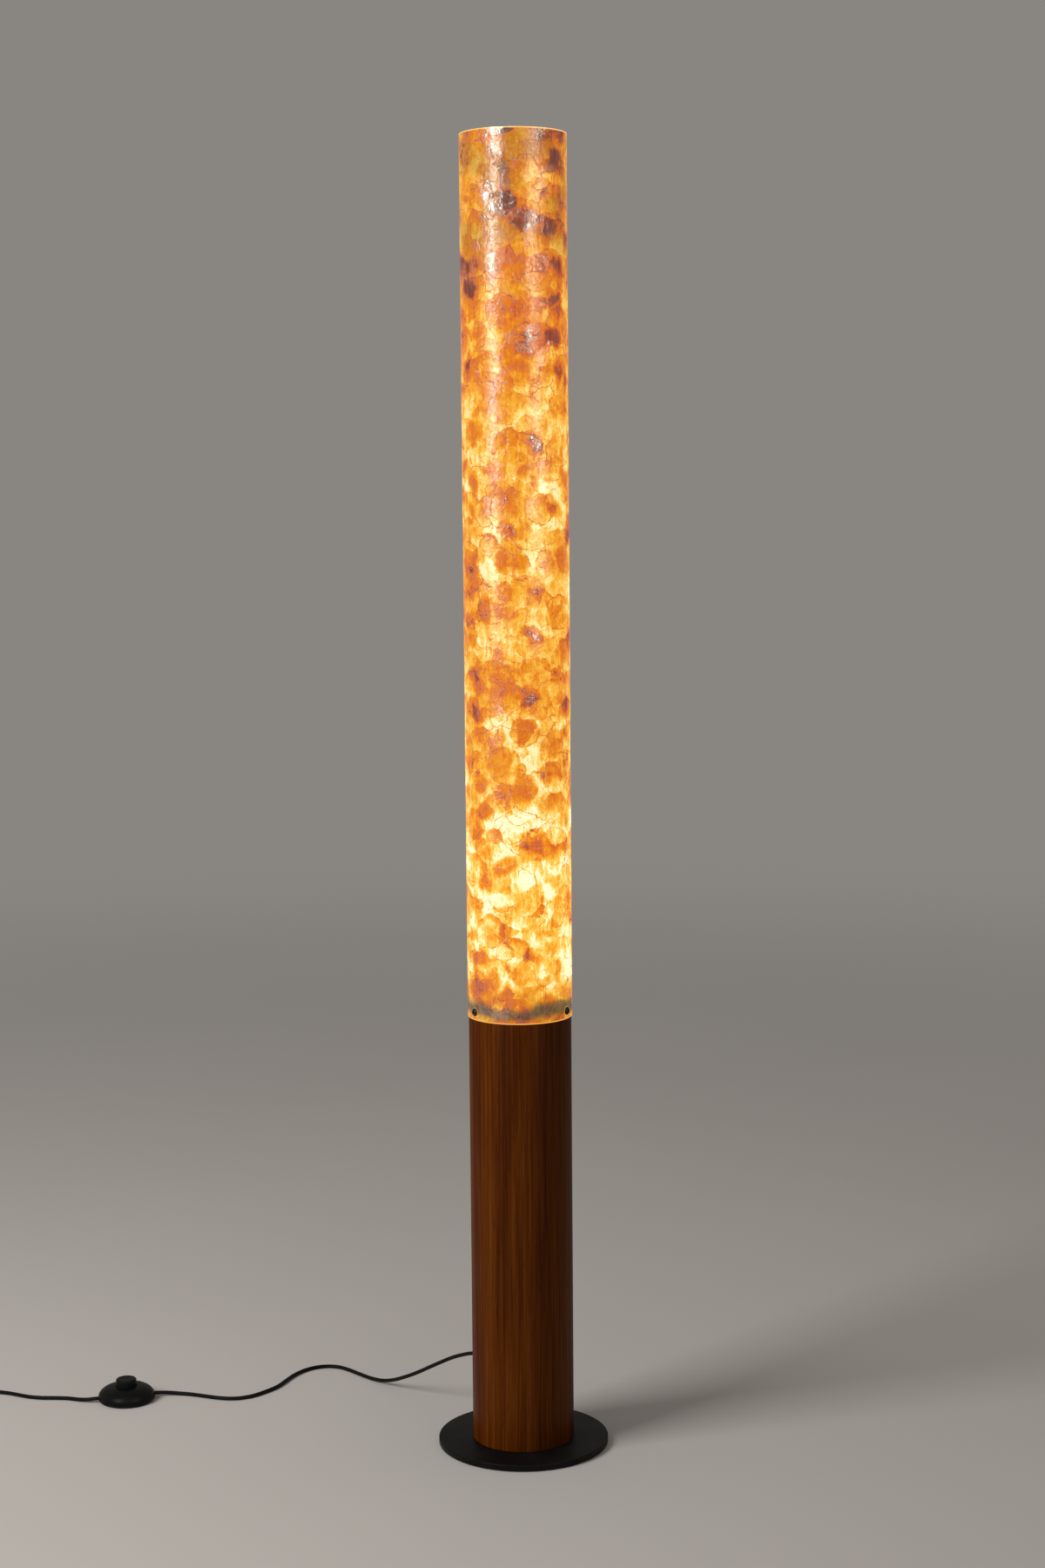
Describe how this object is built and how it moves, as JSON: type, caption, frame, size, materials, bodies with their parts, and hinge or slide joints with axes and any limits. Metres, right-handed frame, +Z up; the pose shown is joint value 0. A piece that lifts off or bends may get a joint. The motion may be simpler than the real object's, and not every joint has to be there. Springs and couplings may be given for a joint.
{
  "type": "floor lamp",
  "caption": "Tall round column floor lamp: a glowing shell-laminate tube shade on a brown wooden tube and a round black base plate, with foot switch, cord and plug.",
  "frame": {"origin": "on the floor, at the axis of the column", "axes": "+Z up along the column; -Y is the front, from where the cord lies behind the column and to its left (-X)"},
  "size_m": [0.853, 0.3588, 1.5],
  "materials": {
    "felt": "thin dark felt",
    "black_steel": "satin black lacquer",
    "zinc_steel": "zinc plated",
    "fibreboard": "raw fibreboard",
    "stained_wood": "brown stained, satin varnish, grain along the tube",
    "black_plastic": "moulded black plastic",
    "cord_jacket": "smooth black jacket",
    "shell_laminate": "overlapping shell pieces under clear gloss resin, lit from inside",
    "black_screw": "black oxide button head",
    "brass": "plain brass",
    "porcelain": "white glazed porcelain",
    "wire_cores": "insulated cores",
    "nickel": "nickel plated",
    "black_glass": "dark glass ring",
    "white_plastic": "white moulded plastic",
    "opal_globe": "frosted opal, warm white",
    "rubber_pad": "soft rubber",
    "switch_shell": "black, fine satin texture",
    "switch_button": "black, worn to a slight gloss",
    "spring_steel": "spring wire",
    "ivory_plastic": "moulded",
    "plug_moulding": "moulded black plastic, satin"
  },
  "bodies": {
    "lamp": {"floor_pad": "felt", "base_plate": "black_steel", "base_screws": "zinc_steel", "bottom_plug": "fibreboard", "wood_tube": "stained_wood", "cord_bush": "black_plastic", "bush_nut": "black_plastic", "inner_cord": "cord_jacket", "shade_carrier": "fibreboard", "shade_tube": "shell_laminate", "shade_screws": "black_screw", "holder_nipple": "brass", "nipple_nuts": "zinc_steel", "nipple_washer": "zinc_steel", "holder_cup": "black_plastic", "holder_insert": "porcelain", "holder_sleeve": "black_plastic", "screw_shell": "brass", "centre_contact": "brass", "holder_terminals": "brass", "holder_screws": "zinc_steel", "holder_wires": "wire_cores", "bulb_cap": "nickel", "bulb_insulator": "black_glass", "bulb_contact": "nickel", "bulb_body": "white_plastic", "led_board": "white_plastic", "bulb_globe": "opal_globe", "cord_lamp_side": "cord_jacket", "switch_pads": "rubber_pad", "switch_base": "switch_shell", "switch_cover": "switch_shell", "switch_spring": "spring_steel", "switch_core": "ivory_plastic", "switch_contacts": "brass", "switch_terminals": "brass", "switch_wires": "wire_cores", "terminal_screws": "zinc_steel", "cord_clamps": "ivory_plastic", "clamp_screws": "zinc_steel", "switch_screws": "zinc_steel", "cord_plug_side": "cord_jacket", "cord_coil": "cord_jacket", "plug_body": "plug_moulding", "plug_pins": "nickel", "pin_sleeves": "plug_moulding"},
    "button": {"switch_button": "switch_button"}
  },
  "joints": [
    {"name": "button_press", "type": "slide", "parent": "lamp", "child": "button", "axis": [0, 0, -1], "range_m": [0, 0.0035], "stiffness_N_per_m": 800, "springref_m": -0.003, "deforming": ["switch_spring"]}
  ]
}
